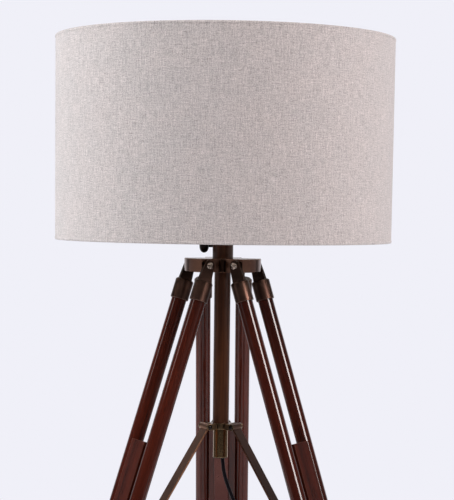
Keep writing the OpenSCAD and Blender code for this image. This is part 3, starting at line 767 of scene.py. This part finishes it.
shade = add_object("shade_cloth", shade_mesh(), "post", MATERIALS["linen"])
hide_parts("shade_fabric")

SEAM_W = 0.012
SEAM_RISE = 0.0007
SEAM_SUNK = 0.0001
SEAM_INSET = 0.0045
SEAM_STEPS = 48
SEAM_SECTION = [(-0.5, 0.0), (-0.46, 0.75), (-0.40, 1.0), (0.40, 1.0), (0.46, 0.75), (0.5, 0.0)]
SEAM_UV = (0.21, 0.3)


def seam_mesh():
    """The lapped join down the back of the shade: a narrow strip of cloth with a soft folded edge."""
    z0, z1 = SHADE_Z0 + SEAM_INSET, SHADE_Z1 - SEAM_INSET
    verts, faces, uvs = [], [], []
    for k in range(SEAM_STEPS + 1):
        z = z0 + (z1 - z0) * k / SEAM_STEPS
        for x, h in SEAM_SECTION:
            angle = math.pi / 2 + x * SEAM_W / wall_r(z)
            r = wall_r(z) + shade_wave(angle, z) + h * SEAM_RISE - SEAM_SUNK
            verts.append((r * math.cos(angle), r * math.sin(angle), z))
    n = len(SEAM_SECTION)
    for k in range(SEAM_STEPS):
        v0, v1 = (SEAM_UV[1] * row / SEAM_STEPS + SEAM_UV[0] for row in (k, k + 1))
        for i in range(n - 1):
            faces.append((k * n + i + 1, k * n + i, (k + 1) * n + i, (k + 1) * n + i + 1))
            u0, u1 = SEAM_SECTION[i][0] * SEAM_W, SEAM_SECTION[i + 1][0] * SEAM_W
            uvs.append(((u1, v0), (u0, v0), (u0, v1), (u1, v1)))
    mesh = mesh_from("shade_seam", verts, faces)
    set_uvs(mesh, uvs)
    return mesh


seam = add_object("shade_seam", seam_mesh(), "post", MATERIALS["linen"])

# ---- screws ----

# Rows of points beside the slot and the width of its wall, as shares of the screw head's radius
HEAD_ROWS = [0.38, 0.6, 0.8, 0.93, 0.995]
SLOT_WALL = 0.001
HEAD_COLUMNS = 14
# Levels of the rim and of the slot's floor, as shares of the head's height
RIM_LEVEL = 0.45
SLOT_LEVEL = 0.42
DOME_POWER = 0.6
SHAFT_SIDES = 24


def slotted_head(radius, height, slot):
    """Points and faces of a domed screw head with a cut slot, standing on z = 0 along +Z.

    Slot is half the slot's width, as a share of the radius.
    """
    half = [0.0, slot - SLOT_WALL, slot] + HEAD_ROWS
    rows = [-row for row in reversed(half[1:])] + half
    columns = HEAD_COLUMNS
    verts, faces = [], []
    for row in rows:
        reach = math.sqrt(1 - row * row)
        for k in range(columns + 1):
            x = reach * (2 * k / columns - 1)
            dome = max(0.0, 1 - x * x - row * row) ** DOME_POWER
            level = SLOT_LEVEL if abs(row) < slot else RIM_LEVEL + (1 - RIM_LEVEL) * dome
            verts.append((x * radius, row * radius, height * level))
    n = columns + 1
    for i in range(len(rows) - 1):
        for k in range(columns):
            a = i * n + k
            faces.append((a, a + 1, a + 1 + n, a + n))
    rim = (list(range(n)) + [i * n + columns for i in range(1, len(rows))]
           + [(len(rows) - 1) * n + k for k in range(columns - 1, -1, -1)]
           + [i * n for i in range(len(rows) - 2, 0, -1)])
    base = len(verts)
    verts += [(verts[index][0], verts[index][1], 0.0) for index in rim]
    count = len(rim)
    for i in range(count):
        j = (i + 1) % count
        faces.append((rim[j], rim[i], base + i, base + j))
    faces.append(tuple(base + i for i in range(count)))
    return verts, faces


def shaft(radius, half):
    """Points and faces of a round bar along Z, from -half to half."""
    verts = [(x, y, z) for z in (-half, half) for x, y in circle_points(radius, SHAFT_SIDES)]
    return verts, band_faces(0, SHAFT_SIDES) + end_faces(2, SHAFT_SIDES)


def join_at(verts, faces, place, part):
    """Add a part's points and faces, placed by a matrix, to the lists of a mesh."""
    start = len(verts)
    verts += [tuple(place @ Vector(v)) for v in part[0]]
    faces += [tuple(start + k for k in face) for face in part[1]]


def on_leg(azimuth):
    """Frame of a leg: X outward across it, Y along its hinge, Z up its length; origin at the hinge."""
    return turned(azimuth, "Z") @ Matrix.Translation((HINGE_R, 0, HINGE_Z)) @ turned(-LEG_TILT, "Y")


STRUT_PLATE_X = -0.015
SCREW_R = 0.0033
SCREW_H = 0.0017
SCREW_SLOT = 0.14
SCREW_OFF_ROD = 0.0035
SCREW_TURNS = (25, 70)
BOLT_R = 0.0035
BOLT_HEAD_R = 0.0046
BOLT_HEAD_H = 0.0032
BOLT_SLOT = 0.16
BOLT_TURNS = {"left": (20, 75), "right": (140, -35), "back": (60, 10)}


def leg_bolts_mesh():
    """The three leg bolts: a plain shaft with a slotted round head at each end."""
    # The back leg's bolt lies along X, so its points say how far each bolt reaches
    reach = max(abs(v.co.x) for v in nodes["hinge_bolts"].data.vertices
                if abs(v.co.y - HINGE_R) < 2 * BOLT_HEAD_R)
    half = reach - BOLT_HEAD_H
    verts, faces = [], []
    for leg, azimuth in LEG_AZIMUTH.items():
        hinge = on_leg(azimuth)
        for side, turn in zip((-1, 1), BOLT_TURNS[leg]):
            place = hinge @ turned(-90 * side, "X") @ Matrix.Translation((0, 0, half)) @ turned(turn, "Z")
            join_at(verts, faces, place, slotted_head(BOLT_HEAD_R, BOLT_HEAD_H, BOLT_SLOT))
        join_at(verts, faces, hinge @ turned(90, "X"), shaft(BOLT_R, half + BOLT_HEAD_H / 4))
    return mesh_from("leg_bolts", verts, faces)


def bracket_screws_mesh(leg):
    """Two slotted screws that hold the strut bracket's plate to the rods."""
    corners = [Vector(v.co) for v in nodes["strut_bracket_" + leg].data.vertices]
    centre = sum(corners, Vector()) / len(corners)
    hinge = on_leg(LEG_AZIMUTH[leg])
    along = (hinge.inverted() @ centre).z
    verts, faces = [], []
    for side, turn in zip((-1, 1), SCREW_TURNS):
        spot = Matrix.Translation((STRUT_PLATE_X, side * (ROD_GAP / 2 + SCREW_OFF_ROD), along))
        join_at(verts, faces, hinge @ spot @ turned(-90, "Y") @ turned(turn, "Z"),
                slotted_head(SCREW_R, SCREW_H, SCREW_SLOT))
    return mesh_from("bracket_screws_" + leg, verts, faces)


bolts = add_object("leg_bolts", leg_bolts_mesh(), "head", MATERIALS["bolt_steel"],
                   smooth=False)
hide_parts("hinge_bolts")
for leg in LEG_AZIMUTH:
    add_object("bracket_screws_" + leg, bracket_screws_mesh(leg), "leg_" + leg,
               MATERIALS["bolt_steel"], smooth=False)

# ---- stage and lights ----


def area_light(name, place, target, size, power, colour, mirrored):
    """Soft box; a mirrored one shows in glossy surfaces only, any other lights matt surfaces only."""
    data = bpy.data.lights.new(name, "AREA")
    data.shape = "RECTANGLE"
    data.size, data.size_y = size
    data.energy = power
    data.color = colour
    obj = bpy.data.objects.new(name, data)
    bpy.context.scene.collection.objects.link(obj)
    obj.location = place
    obj.rotation_mode = "QUATERNION"
    obj.rotation_quaternion = (Vector(target) - Vector(place)).to_track_quat("-Z", "Y")
    obj.visible_diffuse = not mirrored
    obj.visible_glossy = mirrored


def level_ramp(tree, part, between, levels):
    """Brightness that goes from one level to the other as a part of a direction goes between two values."""
    ramp = tree.nodes.new("ShaderNodeMapRange")
    ramp.interpolation_type = "SMOOTHSTEP"
    ramp.inputs["From Min"].default_value, ramp.inputs["From Max"].default_value = between
    ramp.inputs["To Min"].default_value, ramp.inputs["To Max"].default_value = levels
    tree.links.new(part, ramp.inputs["Value"])
    return ramp.outputs["Result"]


def world_math(tree, operation, *values):
    node = tree.nodes.new("ShaderNodeMath")
    node.operation = operation
    for value, socket in zip(values, node.inputs):
        tree.links.new(value, socket)
    return node.outputs[0]


BACKDROP = (0.871, 0.871, 0.939)
LIT_COLOUR = (0.98, 0.98, 1.0)
LIT_LEVELS = (0.12, 0.95)
LIT_BETWEEN = (-0.5, 0.5)
MIRROR_COLOUR = (0.97, 0.95, 1.0)
MIRROR_LEVELS = (0.05, 0.95)
MIRROR_BETWEEN = (0.55, 0.85)
PANEL_SIDES_BETWEEN = (0.80, 0.90)
PANEL_HEIGHT_BETWEEN = (0.06, 0.14)
PANEL_LEVEL = 0.8


def make_world():
    """White backdrop for the eye; for light and for reflections it is white behind and dim in front.

    In reflections two low white panels also stand at the sides.
    """
    world = bpy.data.worlds.new("studio")
    bpy.context.scene.world = world
    world.use_nodes = True
    tree = world.node_tree
    tree.nodes.clear()
    link = tree.links.new
    out = tree.nodes.new("ShaderNodeOutputWorld")
    seen, lit, mirrored = (tree.nodes.new("ShaderNodeBackground") for _ in range(3))
    first, second = (tree.nodes.new("ShaderNodeMixShader") for _ in range(2))
    for shader, colour in ((seen, BACKDROP), (lit, LIT_COLOUR), (mirrored, MIRROR_COLOUR)):
        shader.inputs["Color"].default_value = (*colour, 1)
    split = tree.nodes.new("ShaderNodeSeparateXYZ")
    link(tree.nodes.new("ShaderNodeTexCoord").outputs["Generated"], split.inputs["Vector"])
    across, depth, height = (split.outputs[axis] for axis in "XYZ")
    link(level_ramp(tree, depth, LIT_BETWEEN, LIT_LEVELS), lit.inputs["Strength"])
    behind = level_ramp(tree, depth, MIRROR_BETWEEN, MIRROR_LEVELS)
    beside = level_ramp(tree, world_math(tree, "ABSOLUTE", across), PANEL_SIDES_BETWEEN, (0, 1))
    level = level_ramp(tree, world_math(tree, "ABSOLUTE", height), PANEL_HEIGHT_BETWEEN, (PANEL_LEVEL, 0))
    panels = world_math(tree, "MULTIPLY", beside, level)
    link(world_math(tree, "MAXIMUM", behind, panels), mirrored.inputs["Strength"])
    ray = tree.nodes.new("ShaderNodeLightPath")
    link(ray.outputs["Is Glossy Ray"], first.inputs["Fac"])
    link(lit.outputs["Background"], first.inputs[1])
    link(mirrored.outputs["Background"], first.inputs[2])
    link(ray.outputs["Is Camera Ray"], second.inputs["Fac"])
    link(first.outputs["Shader"], second.inputs[1])
    link(seen.outputs["Background"], second.inputs[2])
    link(second.outputs["Shader"], out.inputs["Surface"])


FLOOR_R = 4.0
FLOOR_SIDES = 96
FLOOR_Z = -0.0005


def make_floor():
    """Round pale floor, a hair below the feet."""
    ring = [(x, y, FLOOR_Z) for x, y in circle_points(FLOOR_R, FLOOR_SIDES)]
    mesh = mesh_from("floor", ring, [tuple(range(len(ring)))])
    pale = plain("floor", (0.80, 0.80, 0.82), rough=0.7, grain=40, bump=0.02, vary=0.01)
    floor = add_object("floor", mesh, material=pale)


# Name, place, target, size, power in watts, colour, and whether only glossy surfaces see it
LIGHTS = [
    ("softbox_left", (-2.3, -0.6, 2.5), LAMP_MIDDLE, (1.6, 2.0), 80, (0.92, 0.98, 1.0), False),
    ("softbox_right", (2.2, -1.0, 2.4), LAMP_MIDDLE, (0.8, 2.0), 54, (1.0, 0.975, 0.975), False),
    ("softbox_front", (-0.2, -3.2, 3.0), LAMP_MIDDLE, (1.2, 0.8), 29, (1.0, 0.98, 0.97), False),
    ("strip_right", (1.78, -1.60, 2.15), LEGS_MIDDLE, (0.90, 1.25), 72, (1.0, 0.93, 0.92), True),
    ("strip_left", (-2.3, -0.9, 2.30), LEGS_MIDDLE, (0.35, 0.85), 4, (1.0, 0.93, 0.92), True),
]
make_world()
make_floor()
for light in LIGHTS:
    area_light(*light)
bpy.context.scene.view_settings.view_transform = "Standard"
